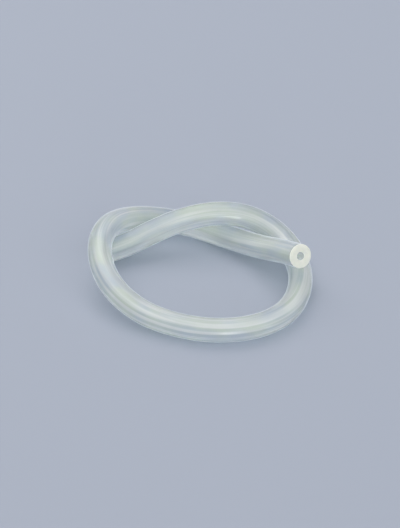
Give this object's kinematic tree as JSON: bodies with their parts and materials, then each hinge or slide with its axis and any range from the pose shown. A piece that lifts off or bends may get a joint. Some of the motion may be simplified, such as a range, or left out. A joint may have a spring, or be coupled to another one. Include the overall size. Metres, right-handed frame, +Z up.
{
  "type": "silicone tubing coil",
  "caption": "Short length of translucent silicone tubing lying in a loose knotted loop, with its bore open at both cut ends.",
  "frame": {"origin": "on the surface the tube lies on, under the middle of its bounding box", "axes": "+Z up from that surface, +X towards the end that lies on top of the ring, -Y towards the open front of the ring"},
  "size_m": [0.0445, 0.0412, 0.0117],
  "materials": {
    "silicone": "translucent natural silicone rubber, satin"
  },
  "bodies": {
    "root": {"silicone_tube": "silicone"}
  },
  "joints": []
}
